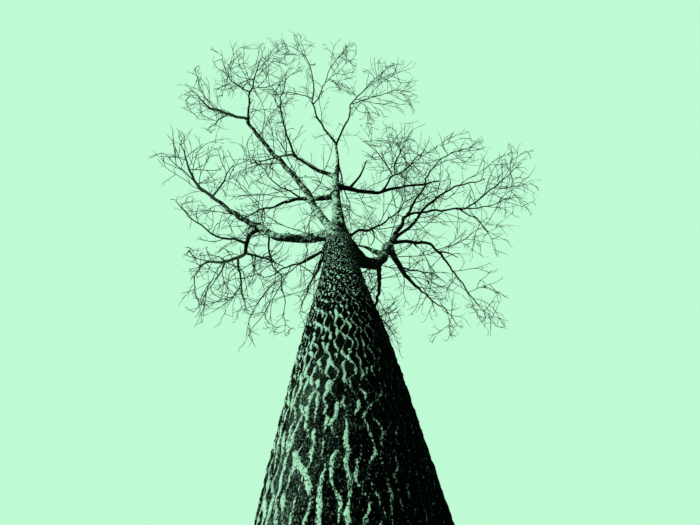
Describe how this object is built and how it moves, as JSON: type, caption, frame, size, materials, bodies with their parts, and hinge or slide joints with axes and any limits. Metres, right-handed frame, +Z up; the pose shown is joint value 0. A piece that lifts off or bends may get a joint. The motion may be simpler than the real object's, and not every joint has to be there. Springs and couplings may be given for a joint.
{
  "type": "bare winter tree",
  "caption": "Bare broadleaf tree in winter: tall straight trunk with furrowed bark, spreading crooked boughs and open masses of fine leafless twigs.",
  "frame": {"origin": "middle of the flat cut under the trunk, at ground level", "axes": "+Z up the trunk; +X to the right and +Y straight ahead, as seen from where the picture was taken"},
  "size_m": [9.8845, 9.6986, 22.4099],
  "materials": {
    "trunk_bark": "rough furrowed bark",
    "bough_bark": "smoother mottled bark",
    "twig_bark": "matt twig bark"
  },
  "bodies": {
    "root": {"trunk": "trunk_bark", "dead_stub_left": "bough_bark", "bough_left": "bough_bark", "bough_left_fork": "bough_bark", "bough_left_side": "bough_bark", "bough_left_under": "bough_bark", "bough_upper_left": "bough_bark", "bough_upper_left_end": "bough_bark", "bough_cross": "bough_bark", "bough_cross_up": "bough_bark", "bough_upper_right": "bough_bark", "bough_top_right": "bough_bark", "bough_top_left": "bough_bark", "bough_top_left_end": "bough_bark", "leader_left": "bough_bark", "leader_left_mid": "bough_bark", "leader_right": "bough_bark", "bough_right": "bough_bark", "bough_right_up": "bough_bark", "bough_right_rising": "bough_bark", "bough_right_long": "bough_bark", "bough_right_down": "bough_bark", "bough_right_broken": "bough_bark", "bough_right_out": "bough_bark", "bough_right_low": "bough_bark", "bough_right_low_side": "bough_bark", "bough_far_right": "bough_bark", "bough_inner_right": "bough_bark", "bough_back": "bough_bark", "bough_back_left": "bough_bark", "bough_back_right": "bough_bark", "bough_back_high": "bough_bark", "bough_back_top": "bough_bark", "twigs_left": "twig_bark", "twigs_left_fork": "twig_bark", "twigs_left_side": "twig_bark", "twigs_left_under": "twig_bark", "twigs_upper_left": "twig_bark", "twigs_upper_left_end": "twig_bark", "twigs_cross": "twig_bark", "twigs_cross_up": "twig_bark", "twigs_top_right": "twig_bark", "twigs_top_left": "twig_bark", "twigs_top_left_end": "twig_bark", "twigs_leader_left": "twig_bark", "twigs_leader_mid": "twig_bark", "twigs_leader_right": "twig_bark", "twigs_right_rising": "twig_bark", "twigs_right_long": "twig_bark", "twigs_right_down": "twig_bark", "twigs_right_out": "twig_bark", "twigs_right_low": "twig_bark", "twigs_right_low_side": "twig_bark", "twigs_far_right": "twig_bark", "twigs_inner_right": "twig_bark", "twigs_back": "twig_bark", "twigs_back_left": "twig_bark", "twigs_back_right": "twig_bark", "twigs_back_high": "twig_bark", "twigs_back_top": "twig_bark"}
  },
  "joints": []
}
